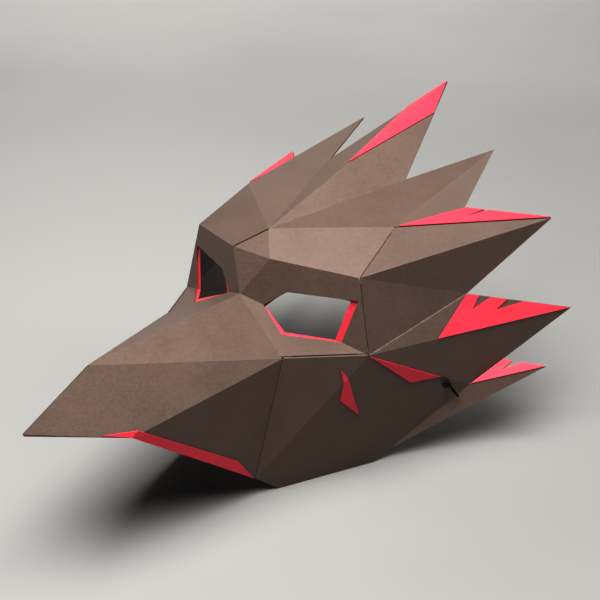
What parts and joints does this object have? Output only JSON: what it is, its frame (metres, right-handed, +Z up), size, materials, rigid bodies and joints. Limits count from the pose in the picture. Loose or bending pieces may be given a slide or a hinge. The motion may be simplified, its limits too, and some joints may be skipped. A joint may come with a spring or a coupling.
{
  "type": "crow half mask",
  "caption": "Low-poly crow half mask folded from brown card, with a long beak, eye holes, a fan of pointed feathers, red card trims and a loose round elastic.",
  "frame": {"origin": "on the floor, under the middle of the mask's length and width", "axes": "+Z up from the floor, -Y along the beak, +X to the wearer's left"},
  "size_m": [0.2554, 0.3688, 0.1917],
  "materials": {
    "brown_card": "matte, faintly fibrous",
    "red_card": "matte",
    "elastic": "braided, matte"
  },
  "bodies": {
    "root": {"face_panel": "brown_card", "side_panel_left": "brown_card", "side_panel_right": "brown_card", "crown_trim": "red_card", "side_feather_trim_left": "red_card", "side_feather_trim_right": "red_card", "lower_feather_trim_left": "red_card", "lower_feather_trim_right": "red_card", "jaw_feather_trim_left": "red_card", "jaw_feather_trim_right": "red_card", "cheek_trim_left": "red_card", "cheek_trim_right": "red_card", "cheek_mark_left": "red_card", "cheek_mark_right": "red_card", "beak_strip_left": "red_card", "beak_strip_right": "red_card", "eye_rim_left": "red_card", "eye_rim_right": "red_card", "elastic": "elastic", "knot_left": "elastic", "knot_right": "elastic"}
  },
  "joints": []
}
